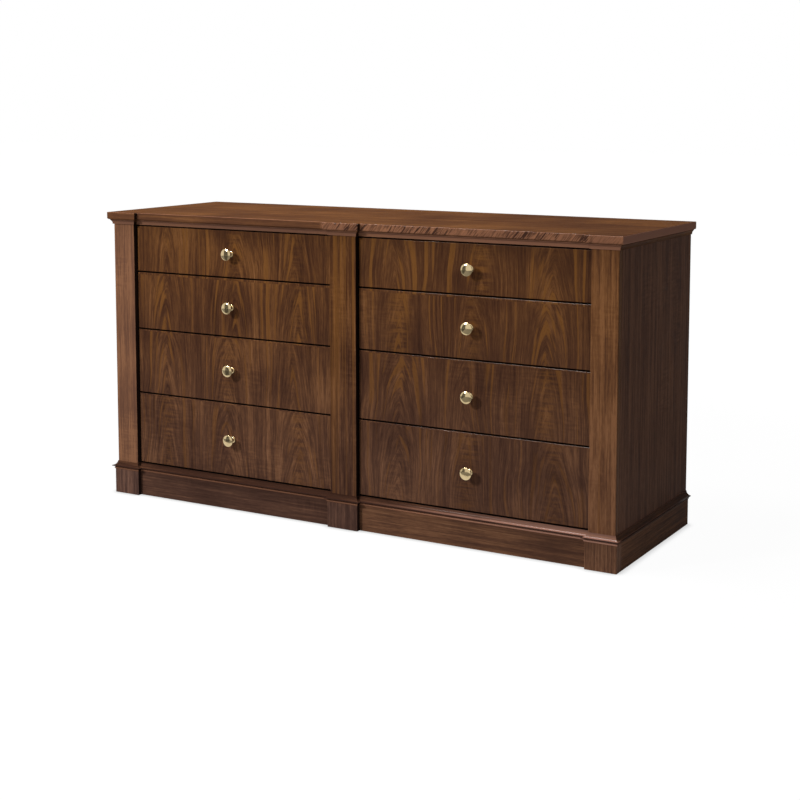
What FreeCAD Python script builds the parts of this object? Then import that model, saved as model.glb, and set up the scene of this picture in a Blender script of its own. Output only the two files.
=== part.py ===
import FreeCAD, Part
import math
import os
import Sketcher

# A double dresser in walnut: two columns of four inset drawers in a case whose three pilasters
# stand forward of the drawer bays. The top, the cornice, the base moulding and the plinth all
# break forward with the pilasters. The drawers are dovetailed boxes on telescopic slides.
# +X is to the right seen from the front, +Y to the back and +Z up. The origin is on the floor,
# under the middle of the whole dresser with its knobs.

# Driving dimensions in millimetres.
SIZES = {
    # Case
    "overall_height": 914,
    "case_width": 1728,
    "case_depth": 560,
    "bay_break": 14,
    "pilaster_width": 80,
    "centre_width": 90,
    "pilaster_thick": 20,
    "side_thick": 20,
    "liner_thick": 18,
    "back_thick": 9,
    "back_joint": 2,
    "edge_round": 1.5,
    "quirk_width": 2,
    "quirk_depth": 3,
    # Top board and the cornice under it
    "top_thick": 23,
    "top_reach": 15.5,
    "top_round": 5,
    "cove_height": 15,
    "cove_foot": 3.5,
    "cove_foot_height": 1.5,
    "cove_reach": 9,
    "cove_fillet": 2.5,
    "cove_radius": 13,
    # Plinth and the base moulding over it
    "plinth_height": 77,
    "plinth_reach": 7,
    "plinth_thick": 20,
    "corner_leg": 60,
    "corner_height": 55,
    "base_height": 26,
    "bead_radius": 4,
    "bead_reach": 5.5,
    "base_quirk": 2,
    "base_lip": 1.5,
    "base_lip_reach": 15.5,
    "base_hollow": 16,
    "base_head": 1.5,
    "base_head_height": 1,
    # Rails between the uprights
    "rail_depth": 70,
    "drawer_rail_depth": 40,
    "drawer_rail_thick": 16,
    "drawer_rail_back": 4,
    # Drawer fronts, of which the top row takes the height that is left
    "gap": 4.5,
    "side_gap": 2.5,
    "front_thick": 20,
    "front_height_2": 179,
    "front_height_3": 203,
    "front_height_4": 225,
    # Drawer boxes
    "box_depth": 480,
    "box_lift": 14,
    "box_drop": 22,
    "board_thick": 14,
    "bottom_thick": 8,
    "bottom_lift": 12,
    "groove_depth": 6,
    "pin_narrow": 8,
    "pin_wide": 13,
    "tails_1": 3,
    "tails_2": 3,
    "tails_3": 4,
    "tails_4": 4,
    # Telescopic slides
    "slide_length": 450,
    "slide_height": 45,
    "slide_space": 13,
    "slide_gauge": 1.5,
    "slide_nest": 2,
    "slide_step": 2.5,
    "slide_setback": 8,
    "slide_lift": 55,
    # Knobs and their screws
    "knob_reach": 30,
    "knob_foot": 10,
    "knob_foot_thick": 2,
    "knob_neck": 6.5,
    "knob_neck_start": 6,
    "knob_neck_end": 15,
    "knob_head": 18,
    "knob_under": 24.5,
    "knob_rim": 3.5,
    "knob_bevel": 5,
    "screw_radius": 2,
    "screw_play": 0.1,
    "screw_head": 4,
    "screw_head_thick": 2.5,
    "screw_grip": 10,
    "screw_room": 2,
    "screw_hole": 2.5,
}

ROWS = (1, 2, 3, 4)
COLUMNS = {"left": -1, "right": 1}
# How far the cut of a mitre runs past the moulding.
MITRE_SPARE = 5

doc = FreeCAD.newDocument("dresser")
sheet = doc.addObject("Spreadsheet::Sheet", "Sizes")
for row_number, (size_name, size_value) in enumerate(SIZES.items(), start=1):
    sheet.set(f"A{row_number}", size_name)
    sheet.set(f"B{row_number}", str(size_value))
    sheet.setAlias(f"B{row_number}", size_name)
doc.recompute()


class Size:
    """A length that carries both its value and the sheet formula that drives it."""

    def __init__(self, value, formula):
        self.value = value
        self.formula = formula

    def __add__(self, other):
        other = as_size(other)
        return Size(self.value + other.value, f"({self.formula} + {other.formula})")

    def __sub__(self, other):
        other = as_size(other)
        return Size(self.value - other.value, f"({self.formula} - {other.formula})")

    def __mul__(self, other):
        other = as_size(other)
        return Size(self.value * other.value, f"({self.formula} * {other.formula})")

    def __truediv__(self, other):
        other = as_size(other)
        return Size(self.value / other.value, f"({self.formula} / {other.formula})")

    def __neg__(self):
        return Size(-self.value, f"(0 - {self.formula})")

    def __radd__(self, other):
        return as_size(other) + self

    def __rsub__(self, other):
        return as_size(other) - self

    def __rmul__(self, other):
        return as_size(other) * self


def as_size(number):
    return number if isinstance(number, Size) else Size(number, f"({number})")


def cell(name):
    return Size(SIZES[name], f"Sizes.{name}")


def bind(item, prop, length):
    item.setExpression(prop, as_size(length).formula)


def place(item, x=0, y=0, z=0, turn=0):
    """Set an item down at x, y, z, turned about the vertical by a number of degrees."""
    item.Placement.Rotation = FreeCAD.Rotation(FreeCAD.Vector(0, 0, 1), turn)
    for axis, length in (("x", x), ("y", y), ("z", z)):
        bind(item, f"Placement.Base.{axis}", length)
    return item


# Places that several pieces share.
half_width = cell("case_width") / 2
rear_y = (cell("case_depth") + cell("knob_reach") - cell("bay_break")) / 2
face_y = rear_y - cell("case_depth")
bay_y = face_y + cell("bay_break")
bay_outer = half_width - cell("pilaster_width")
bay_inner = cell("centre_width") / 2
bay_width = bay_outer - bay_inner
bay_centre = (bay_outer + bay_inner) / 2
post_x = half_width - cell("pilaster_width") / 2
upright_y = face_y + cell("pilaster_thick")
back_y = rear_y - cell("back_thick")
floor_z = cell("plinth_height") + cell("base_height")
top_z = cell("overall_height") - cell("top_thick")
cove_z = top_z - cell("cove_height")
upright_height = top_z - floor_z

front_height = {row: cell(f"front_height_{row}") for row in ROWS[1:]}
front_height[1] = (cove_z - floor_z - (len(ROWS) + 1) * cell("gap")
                   - front_height[2] - front_height[3] - front_height[4])
front_bottom = {4: floor_z + cell("gap")}
for row in reversed(ROWS[:3]):
    front_bottom[row] = front_bottom[row + 1] + front_height[row + 1] + cell("gap")
box_y = bay_y + cell("front_thick")
box_width = bay_width - 2 * cell("slide_space")
inner_width = box_width - 2 * cell("board_thick")
box_height = {row: front_height[row] - cell("box_lift") - cell("box_drop") for row in ROWS}


def new_body(label):
    body = doc.addObject("PartDesign::Body", label)
    body.Label = label
    return body


def new_sketch(body, name, plane, offset=None):
    """A sketch on one of the body's origin planes, moved along that plane's normal by offset."""
    sketch = body.newObject("Sketcher::SketchObject", f"{body.Name}_{name}")
    support = [item for item in body.Origin.OriginFeatures if item.Role == plane]
    sketch.AttachmentSupport = [(support[0], "")]
    sketch.MapMode = "FlatFace"
    if offset is not None:
        bind(sketch, "AttachmentOffset.Base.z", offset)
    return sketch


def arc_between(start, end, radius, side):
    """An arc from start to end, with its centre on the left (side 1) or on the right (side -1)."""
    chord = end - start
    rise = math.sqrt(radius ** 2 - (chord.Length / 2) ** 2)
    normal = FreeCAD.Vector(-chord.y, chord.x, 0).normalize()
    centre = (start + end) / 2 + normal * rise * side
    first, last = (start, end) if side > 0 else (end, start)
    angles = [math.atan2(point.y - centre.y, point.x - centre.x) for point in (first, last)]
    if angles[1] < angles[0]:
        angles[1] += 2 * math.pi
    circle = Part.Circle(centre, FreeCAD.Vector(0, 0, 1), radius)
    return Part.ArcOfCircle(circle, angles[0], angles[1])


def fix_point(sketch, geometry, position, u, v):
    """Hold one point at the distances u and v from the sketch's origin."""
    for kind, axis, length in (("DistanceX", -2, as_size(u)), ("DistanceY", -1, as_size(v))):
        if abs(length.value) < 1e-9:
            sketch.addConstraint(Sketcher.Constraint("PointOnObject", geometry, position, axis))
            continue
        ends = (-1, 1, geometry, position) if length.value > 0 else (geometry, position, -1, 1)
        index = sketch.addConstraint(Sketcher.Constraint(kind, *ends, abs(length.value)))
        bind(sketch, f"Constraints[{index}]", length if length.value > 0 else -length)


def draw_outline(sketch, corners, arcs=None):
    """A closed outline through the corners. arcs gives the radius and side of round stretches."""
    arcs = arcs or {}
    points = [FreeCAD.Vector(as_size(u).value, as_size(v).value, 0) for u, v in corners]
    stretches = []
    for number, start in enumerate(points):
        end = points[(number + 1) % len(points)]
        if number in arcs:
            radius, side = arcs[number]
            index = sketch.addGeometry(arc_between(start, end, radius.value, side))
            stretches.append((index, 1, 2) if side > 0 else (index, 2, 1))
            radius_at = sketch.addConstraint(Sketcher.Constraint("Radius", index, radius.value))
            bind(sketch, f"Constraints[{radius_at}]", radius)
        else:
            index = sketch.addGeometry(Part.LineSegment(start, end))
            stretches.append((index, 1, 2))
    for number, (index, first, _) in enumerate(stretches):
        before, _, last = stretches[number - 1]
        sketch.addConstraint(Sketcher.Constraint("Coincident", before, last, index, first))
        fix_point(sketch, index, first, *corners[number])


def draw_circle(sketch, u, v, radius):
    centre = FreeCAD.Vector(as_size(u).value, as_size(v).value, 0)
    circle = Part.Circle(centre, FreeCAD.Vector(0, 0, 1), radius.value)
    index = sketch.addGeometry(circle)
    fix_point(sketch, index, 3, u, v)
    radius_at = sketch.addConstraint(Sketcher.Constraint("Radius", index, radius.value))
    bind(sketch, f"Constraints[{radius_at}]", radius)


def pad(sketch, length, both_ways=False, backwards=False):
    feature = sketch.getParentGeoFeatureGroup().newObject("PartDesign::Pad", f"{sketch.Name}_pad")
    feature.Profile = sketch
    bind(feature, "Length", length)
    feature.Midplane = both_ways
    feature.Reversed = backwards
    return feature


def pocket(sketch, depth=None, both_ways=False, backwards=False):
    """Cut the sketch to a depth, or right through the body where no depth is given."""
    feature = sketch.getParentGeoFeatureGroup().newObject("PartDesign::Pocket", f"{sketch.Name}_cut")
    feature.Profile = sketch
    if depth is None:
        feature.Type = "ThroughAll"
    else:
        bind(feature, "Length", depth)
    feature.Midplane = both_ways
    feature.Reversed = backwards
    return feature


def repeat_upwards(feature, sketch, count, run):
    """Repeat a feature along the sketch's vertical axis: count copies over a length run."""
    body = sketch.getParentGeoFeatureGroup()
    pattern = body.newObject("PartDesign::LinearPattern", f"{feature.Name}_row")
    pattern.Originals = [feature]
    pattern.Direction = (sketch, ["V_Axis"])
    bind(pattern, "Length", run)
    bind(pattern, "Occurrences", count)
    body.Tip = pattern
    return pattern


def turn_about_axis(sketch):
    body = sketch.getParentGeoFeatureGroup()
    feature = body.newObject("PartDesign::Revolution", f"{sketch.Name}_turned")
    feature.Profile = sketch
    feature.ReferenceAxis = (sketch, ["V_Axis"])
    feature.Angle = 360
    return feature


def round_edges(feature, radius, wanted):
    """Round the edges of a feature for which wanted(edge) holds."""
    doc.recompute()
    edges = enumerate(feature.Shape.Edges, start=1)
    names = [f"Edge{number}" for number, edge in edges if wanted(edge)]
    body = feature.getParentGeoFeatureGroup()
    rounded = body.newObject("PartDesign::Fillet", f"{feature.Name}_round")
    rounded.Base = (feature, names)
    bind(rounded, "Radius", radius)
    return rounded


def board(label, corner, extent):
    """A plain board from its low corner and its extent along X, Y and Z."""
    box = doc.addObject("Part::Box", label)
    box.Label = label
    for prop, length in zip(("Length", "Width", "Height"), extent):
        bind(box, prop, length)
    return place(box, *corner)


def mirrored_board(label, side, inner_x, thick, y, z, depth, height):
    """A board standing between inner_x and inner_x + thick, on the left (-1) or right (1) side."""
    low_x = inner_x if side > 0 else -(inner_x + thick)
    return board(label, (low_x, y, z), (thick, depth, height))


def copy_of(item, name, x=0, y=0, z=0, turn=0):
    link = doc.addObject("App::Link", name)
    link.LinkedObject = item
    link.LinkTransform = False
    return place(link, x, y, z, turn)


def group(label, items, x=0, y=0, z=0):
    compound = doc.addObject("Part::Compound", label)
    compound.Label = label
    compound.Links = items
    return place(compound, x, y, z)


def break_front(reach):
    """The plan of the case, grown by reach at the front and the sides, from back left round."""
    outer = half_width + reach
    inner = bay_outer - reach
    middle = bay_inner + reach
    front = face_y - reach
    bay = bay_y - reach
    right = [(middle, front), (middle, bay), (inner, bay),
             (inner, front), (outer, front), (outer, rear_y)]
    return [(-x, y) for x, y in reversed(right)] + right


def is_upright(edge):
    return abs(edge.tangentAt(edge.FirstParameter).z) > 0.5


def top_panel():
    """The top board: round under its front and side edges, with a fine arris above."""
    body = new_body("top_panel")
    plan = new_sketch(body, "plan", "XY_Plane")
    draw_outline(plan, break_front(cell("top_reach")))
    slab = pad(plan, cell("top_thick"))

    def moulded(edge, z):
        middle = edge.CenterOfMass
        return abs(middle.z - z) < 1e-6 and middle.y < rear_y.value - 1e-6

    under = round_edges(slab, cell("top_round"), lambda edge: moulded(edge, 0))
    thick = cell("top_thick").value
    round_edges(under, cell("edge_round"), lambda edge: moulded(edge, thick))
    return place(body, 0, 0, top_z)


def bottom_board():
    body = new_body("bottom_board")
    plan = new_sketch(body, "plan", "XY_Plane")
    draw_outline(plan, break_front(0))
    pad(plan, cell("base_height"))
    return place(body, 0, 0, cell("plinth_height"))


def side_panel(label, side):
    """An outer side, with a narrow quirk where it meets the pilaster."""
    body = new_body(label)
    plan = new_sketch(body, "plan", "XY_Plane")
    inside = side * (half_width - cell("side_thick"))
    outside = side * half_width
    quirk_x = side * (half_width - cell("quirk_depth"))
    quirk_y = upright_y + cell("quirk_width")
    draw_outline(plan, [(inside, upright_y), (quirk_x, upright_y), (quirk_x, quirk_y),
                        (outside, quirk_y), (outside, rear_y), (inside, rear_y)])
    pad(plan, upright_height)
    return place(body, 0, 0, floor_z)


def pilaster(label, centre_x, width):
    body = new_body(label)
    plan = new_sketch(body, "plan", "XY_Plane")
    draw_outline(plan, [(-width / 2, 0), (width / 2, 0), (width / 2, cell("pilaster_thick")),
                        (-width / 2, cell("pilaster_thick"))])
    post = pad(plan, upright_height)
    round_edges(post, cell("edge_round"), lambda edge: is_upright(edge) and edge.CenterOfMass.y < 1e-6)
    return place(body, centre_x, face_y, floor_z)


def moulding_runs():
    """Every length of moulding: name, middle, length, turn, and how its two ends are cut.

    An end goes out (1) at an outer mitre, in (-1) at an inner mitre, or is square (0). The
    first end is the one at -X before the length is turned to face its way.
    """
    return_y = face_y + cell("bay_break") / 2
    runs = [("centre", 0, face_y, cell("centre_width"), 0, 1, 1)]
    for column, side in COLUMNS.items():
        # Faces to the right and to the left are turned a quarter either way from the front.
        outwards = side * 90
        ends = (1, 0) if side > 0 else (0, 1)
        inwards = (-1, 1) if side > 0 else (1, -1)
        runs.append((f"{column}_side", side * half_width, rear_y - cell("case_depth") / 2,
                     cell("case_depth"), outwards, *ends))
        runs.append((f"{column}_post", side * post_x, face_y, cell("pilaster_width"), 0, 1, 1))
        runs.append((f"{column}_outer_return", side * bay_outer, return_y, cell("bay_break"),
                     -outwards, *inwards))
        runs.append((f"{column}_bay", side * bay_centre, bay_y, bay_width, 0, -1, -1))
        runs.append((f"{column}_inner_return", side * bay_inner, return_y, cell("bay_break"),
                     outwards, *reversed(inwards)))
    return runs


def moulding_length(label, profile, arcs, reach, run, z):
    """One length of moulding, run through its profile and then cut to its two mitres."""
    _, x, y, length, turn, first_end, last_end = run
    body = new_body(label)
    section = new_sketch(body, "section", "YZ_Plane")
    draw_outline(section, [(-out, up) for out, up in profile], arcs)
    overshoot = reach + MITRE_SPARE
    pad(section, length + 2 * overshoot, both_ways=True)
    plan = new_sketch(body, "mitres", "XY_Plane")
    for side, end in ((-1, first_end), (1, last_end)):
        draw_outline(plan, [(side * (length / 2 - end * MITRE_SPARE), MITRE_SPARE),
                            (side * (length / 2 + end * overshoot), -overshoot),
                            (side * (length / 2 + 2 * overshoot), -overshoot),
                            (side * (length / 2 + 2 * overshoot), MITRE_SPARE)])
    pocket(plan, both_ways=True)
    return place(body, x, y, z, turn)


def moulding(label, profile, arcs, reach, z):
    lengths = [moulding_length(f"{label}_{run[0]}", profile, arcs, reach, run, z)
               for run in moulding_runs()]
    return group(label, lengths)


def cornice_moulding():
    """The cove under the top: a foot, a hollow and a fillet."""
    foot = cell("cove_foot")
    reach = cell("cove_reach")
    head = cell("cove_height") - cell("cove_fillet")
    profile = [(0, 0), (foot, 0), (foot, cell("cove_foot_height")), (reach, head),
               (reach, cell("cove_height")), (0, cell("cove_height"))]
    return moulding("cornice_moulding", profile, {2: (cell("cove_radius"), 1)}, reach, cove_z)


def base_moulding():
    """The moulding over the plinth: a bead, a quirk, and a lip with a hollow up to the case."""
    inside = cell("bead_reach")
    radius = cell("bead_radius")
    lip_under = 2 * radius + cell("base_quirk")
    lip_top = lip_under + cell("base_lip")
    head = cell("base_height") - cell("base_head_height")
    reach = cell("base_lip_reach")
    profile = [(0, 0), (inside, 0), (inside + radius, radius), (inside, 2 * radius),
               (inside, lip_under), (reach, lip_under), (reach, lip_top), (cell("base_head"), head),
               (cell("base_head"), cell("base_height")), (0, cell("base_height"))]
    arcs = {1: (radius, -1), 2: (radius, -1), 6: (cell("base_hollow"), 1)}
    return moulding("base_moulding", profile, arcs, reach, cell("plinth_height"))


def plinth_blocks():
    """The blocks under the pilasters, each a little wider than its pilaster."""
    reach = cell("plinth_reach")
    deep = cell("bay_break") + cell("plinth_thick")
    height = cell("plinth_height")
    y = face_y - reach
    middle = bay_inner + reach
    blocks = [board("plinth_block_centre", (-middle, y, 0), (2 * middle, deep, height))]
    for column, side in COLUMNS.items():
        blocks.append(mirrored_board(f"plinth_block_{column}", side, bay_outer - reach,
                                     cell("pilaster_width") + 2 * reach, y, 0, deep, height))
    return group("plinth_blocks", blocks)


def front_plinths():
    reach = cell("plinth_reach")
    boards = [mirrored_board(f"front_plinth_{column}", side, bay_inner + reach, bay_width - 2 * reach,
                             bay_y - reach, 0, cell("plinth_thick"), cell("plinth_height"))
              for column, side in COLUMNS.items()]
    return group("front_plinths", boards)


plinth_inside = half_width + cell("plinth_reach") - cell("plinth_thick")
plinth_back = bay_y - cell("plinth_reach") + cell("plinth_thick")


def side_plinths():
    boards = [mirrored_board(f"side_plinth_{column}", side, plinth_inside, cell("plinth_thick"),
                             plinth_back, 0, rear_y - plinth_back, cell("plinth_height"))
              for column, side in COLUMNS.items()]
    return group("side_plinths", boards)


def rear_plinth():
    return board("rear_plinth", (-plinth_inside, rear_y - cell("plinth_thick"), 0),
                 (2 * plinth_inside, cell("plinth_thick"), cell("plinth_height")))


def plinth_corner_blocks():
    """Glue blocks in the four corners of the plinth, up against the bottom board."""
    master = new_body("corner_block")
    plan = new_sketch(master, "plan", "XY_Plane")
    leg = cell("corner_leg")
    draw_outline(plan, [(0, 0), (leg, 0), (0, leg)])
    pad(plan, cell("corner_height"))
    z = cell("plinth_height") - cell("corner_height")
    back = rear_y - cell("plinth_thick")
    place(master, -plinth_inside, plinth_back, z)
    copies = [copy_of(master, "corner_block_front_right", plinth_inside, plinth_back, z, 90),
              copy_of(master, "corner_block_rear_right", plinth_inside, back, z, 180),
              copy_of(master, "corner_block_rear_left", -plinth_inside, back, z, 270)]
    return group("plinth_corner_blocks", [master] + copies)


def uprights(label, inner_x):
    """A pair of inner uprights that carry the slides, one on each side of the centre line."""
    boards = [mirrored_board(f"{label}_{column}", side, inner_x, cell("liner_thick"),
                             upright_y, floor_z, back_y - upright_y, upright_height)
              for column, side in COLUMNS.items()]
    return group(label, boards)


def back_panels():
    inside = half_width - cell("side_thick")
    joint = cell("back_joint") / 2
    panels = [mirrored_board(f"back_panel_{column}", side, joint, inside - joint,
                             back_y, floor_z, cell("back_thick"), upright_height)
              for column, side in COLUMNS.items()]
    return group("back_panels", panels)


def top_rails():
    """Flat rails under the top, at the front and the back of each bay."""
    rails = []
    for column, side in COLUMNS.items():
        for end, y in (("front", bay_y), ("back", back_y - cell("rail_depth"))):
            rails.append(mirrored_board(f"top_rail_{end}_{column}", side, bay_inner, bay_width, y, cove_z,
                                        cell("rail_depth"), cell("cove_height")))
    return group("top_rails", rails)


def drawer_rails():
    """Rails behind the gaps between the drawer fronts, which tie the uprights together."""
    rails = []
    for column, side in COLUMNS.items():
        for row in ROWS[:3]:
            z = front_bottom[row] - cell("gap") / 2 - cell("drawer_rail_thick") / 2
            rails.append(mirrored_board(f"drawer_rail_{column}_{row}", side, bay_inner, bay_width,
                                        box_y + cell("drawer_rail_back"), z,
                                        cell("drawer_rail_depth"), cell("drawer_rail_thick")))
    return group("drawer_rails", rails)


def drawer_front(row):
    """A slab front from its bottom middle, with its face at zero and a hole for the knob's screw."""
    body = new_body(f"front_row_{row}")
    width = bay_width - 2 * cell("side_gap")
    face = new_sketch(body, "face", "XZ_Plane")
    draw_outline(face, [(-width / 2, 0), (width / 2, 0), (width / 2, front_height[row]),
                        (-width / 2, front_height[row])])
    slab = pad(face, cell("front_thick"), backwards=True)
    hole = new_sketch(body, "hole", "XZ_Plane")
    draw_circle(hole, 0, front_height[row] / 2, cell("screw_hole"))
    bored = pocket(hole, both_ways=True)

    def on_face(edge):
        return abs(edge.CenterOfMass.y) < 1e-6 and edge.Curve.TypeId == "Part::GeomLine"

    round_edges(bored, cell("edge_round"), on_face)
    return body


def box_side(row):
    """A drawer side with its inner face at zero: dovetails at both ends and a stopped groove."""
    body = new_body(f"box_side_row_{row}")
    height = box_height[row]
    depth = cell("box_depth")
    thick = cell("board_thick")
    face = new_sketch(body, "face", "YZ_Plane")
    draw_outline(face, [(0, 0), (depth, 0), (depth, height), (0, height)])
    pad(face, thick, backwards=True)
    groove = new_sketch(body, "groove", "YZ_Plane")
    start = thick - cell("groove_depth")
    low = cell("bottom_lift")
    high = low + cell("bottom_thick")
    draw_outline(groove, [(start, low), (depth - start, low), (depth - start, high), (start, high)])
    pocket(groove, cell("groove_depth"))
    sockets = new_sketch(body, "sockets", "YZ_Plane")
    narrow = cell("pin_narrow") / 2
    wide = cell("pin_wide") / 2
    draw_outline(sockets, [(0, -narrow), (thick, -wide), (thick, wide), (0, narrow)])
    draw_outline(sockets, [(depth, -narrow), (depth, narrow),
                           (depth - thick, wide), (depth - thick, -wide)])
    repeat_upwards(pocket(sockets), sockets, cell(f"tails_{row}") + 1, height)
    return body


def box_end(row, name, bored):
    """A drawer end with its inner face at zero: pins at both ends, a groove and the screw's hole."""
    body = new_body(f"box_{name}_row_{row}")
    height = box_height[row]
    thick = cell("board_thick")
    section = new_sketch(body, "section", "YZ_Plane")
    draw_outline(section, [(-thick, 0), (0, 0), (0, height), (-thick, height)])
    pad(section, box_width, both_ways=True)
    groove = new_sketch(body, "groove", "XZ_Plane")
    half = inner_width / 2 + cell("groove_depth")
    low = cell("bottom_lift")
    high = low + cell("bottom_thick")
    draw_outline(groove, [(-half, low), (half, low), (half, high), (-half, high)])
    pocket(groove, cell("groove_depth"), backwards=True)
    if bored:
        hole = new_sketch(body, "hole", "XZ_Plane")
        draw_circle(hole, 0, front_height[row] / 2 - cell("box_lift"), cell("screw_hole"))
        pocket(hole, both_ways=True)
    tails = cell(f"tails_{row}")
    pitch = height / tails
    narrow = cell("pin_narrow") / 2
    wide = cell("pin_wide") / 2
    for end, cut_x in (("right", box_width / 2), ("left", -inner_width / 2)):
        waste = new_sketch(body, f"waste_{end}", "YZ_Plane", cut_x)
        draw_outline(waste, [(-thick, narrow), (0, wide), (0, pitch - wide), (-thick, pitch - narrow)])
        repeat_upwards(pocket(waste, thick), waste, tails, height - pitch)
    return body


def drawer_box_boards(row):
    """The five boards of a drawer box, from the middle of its front at the bottom."""
    thick = cell("board_thick")
    depth = cell("box_depth")
    side = box_side(row)
    place(side, -inner_width / 2, 0, 0)
    other_side = copy_of(side, f"box_side_row_{row}_right", inner_width / 2, depth, 0, 180)
    front = place(box_end(row, "front", True), 0, thick, 0)
    back = place(box_end(row, "back", False), 0, depth - thick, 0, 180)
    inset = thick - cell("groove_depth")
    bottom_width = inner_width + 2 * cell("groove_depth")
    bottom = board(f"box_bottom_row_{row}", (-bottom_width / 2, inset, cell("bottom_lift")),
                   (bottom_width, depth - 2 * inset, cell("bottom_thick")))
    return [side, other_side, front, back, bottom]


def slide_member(name, web_x, half_height, flange_x):
    """A channel along Y: its web at web_x and its two flanges reaching to flange_x."""
    body = new_body(name)
    section = new_sketch(body, "section", "XZ_Plane")
    gauge = cell("slide_gauge")
    way = 1 if flange_x.value > as_size(web_x).value else -1
    web_in = web_x + way * gauge
    flange_in = half_height - gauge
    draw_outline(section, [(web_x, -half_height), (flange_x, -half_height), (flange_x, -flange_in),
                           (web_in, -flange_in), (web_in, flange_in), (flange_x, flange_in),
                           (flange_x, half_height), (web_x, half_height)])
    pad(section, cell("slide_length"), both_ways=True)
    return body


def slide_pair(name, web_x, half_height, flange_x):
    """A member on each side of a bay, from the bay's middle; the far one is turned about."""
    near = slide_member(name, web_x, half_height, flange_x)
    place(near, -bay_width / 2, 0, 0)
    return [near, copy_of(near, f"{name}_far", bay_width / 2, 0, 0, 180)]


def knob_turning():
    """The turned knob from the middle of its seat, standing out to -Y.

    A small foot tapers to the neck, which flares to a thin rim and a wide bevel round a flat face.
    """
    body = new_body("knob_turning")
    section = new_sketch(body, "section", "XY_Plane")
    bore = cell("screw_radius") + cell("screw_play")
    foot = cell("knob_foot")
    neck = cell("knob_neck")
    head = cell("knob_head")
    rim_out = cell("knob_under") + cell("knob_rim")
    reach = cell("knob_reach")
    face = head - cell("knob_bevel")
    end = cell("screw_grip") + cell("screw_room")
    draw_outline(section, [(bore, 0), (foot, 0), (foot, -cell("knob_foot_thick")),
                           (neck, -cell("knob_neck_start")), (neck, -cell("knob_neck_end")),
                           (head, -cell("knob_under")), (head, -rim_out), (face, -reach),
                           (0, -reach), (0, -end), (bore, -end)])
    turn_about_axis(section)
    return body


def knob_screw():
    """The machine screw that draws the knob up from inside the drawer."""
    body = new_body("knob_screw")
    section = new_sketch(body, "section", "XY_Plane")
    shank = cell("screw_radius")
    head = cell("screw_head")
    seat = cell("front_thick") + cell("board_thick")
    tip = -cell("screw_grip")
    back = seat + cell("screw_head_thick")
    draw_outline(section, [(0, tip), (shank, tip), (shank, seat),
                           (head, seat), (head, back), (0, back)])
    turn_about_axis(section)
    return body


nodes = [top_panel(), cornice_moulding(),
         side_panel("left_side_panel", -1), side_panel("right_side_panel", 1),
         uprights("inner_side_panels", bay_outer),
         uprights("centre_partitions", bay_inner - cell("liner_thick")),
         back_panels(), bottom_board(),
         pilaster("left_pilaster", -post_x, cell("pilaster_width")),
         pilaster("centre_pilaster", 0, cell("centre_width")),
         pilaster("right_pilaster", post_x, cell("pilaster_width")),
         base_moulding(), plinth_blocks(), front_plinths(), side_plinths(), rear_plinth(),
         plinth_corner_blocks(), top_rails(), drawer_rails()]

# The three members of a slide nest inside each other, each one step in from the last.
space = cell("slide_space")
outer_half = cell("slide_height") / 2
middle_half = outer_half - cell("slide_nest")
inner_half = middle_half - cell("slide_nest")
step = cell("slide_step")
case_members = slide_pair("slide_case_member", as_size(0), outer_half, space - 2 * step)
middle_members = slide_pair("slide_middle_member", step, middle_half, space - step)
inner_members = slide_pair("slide_inner_member", space, inner_half, 2 * step)
slide_y = box_y + cell("slide_setback") + cell("slide_length") / 2
knob_pieces = [knob_turning(), knob_screw()]
fronts = {row: drawer_front(row) for row in ROWS}
boxes = {row: drawer_box_boards(row) for row in ROWS}

case_slides = []
for column, side in COLUMNS.items():
    x = side * bay_centre
    for row in ROWS:
        name = f"{column}_{row}"
        box_z = front_bottom[row] + cell("box_lift")
        slide_z = box_z + cell("slide_lift")
        knob_z = front_bottom[row] + front_height[row] / 2
        case_slides.append(group(f"slide_case_{name}", case_members, x, slide_y, slide_z))
        nodes.append(group(f"drawer_front_{name}", [fronts[row]], x, bay_y, front_bottom[row]))
        nodes.append(group(f"drawer_box_{name}", boxes[row], x, box_y, box_z))
        nodes.append(group(f"knob_{name}", knob_pieces, x, bay_y, knob_z))
        nodes.append(group(f"slide_inner_{name}", inner_members, x, slide_y, slide_z))
        nodes.append(group(f"slide_middle_{name}", middle_members, x, slide_y, slide_z))
nodes.append(group("slide_case_members", case_slides))

doc.recompute()
failed = [item.Label for item in doc.Objects if {"Invalid", "Error"} & set(item.State)]
failed += [node.Label for node in nodes if node.Shape.isNull() or not node.Shape.isValid()]
if failed:
    raise RuntimeError(f"these objects failed: {failed}")
os.makedirs("parts", exist_ok=True)
for node in nodes:
    node.Shape.exportStep(f"parts/{node.Label}.step")
print(len(nodes), "nodes,", sum(len(node.Shape.Solids) for node in nodes), "solids")
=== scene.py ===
import math

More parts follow.
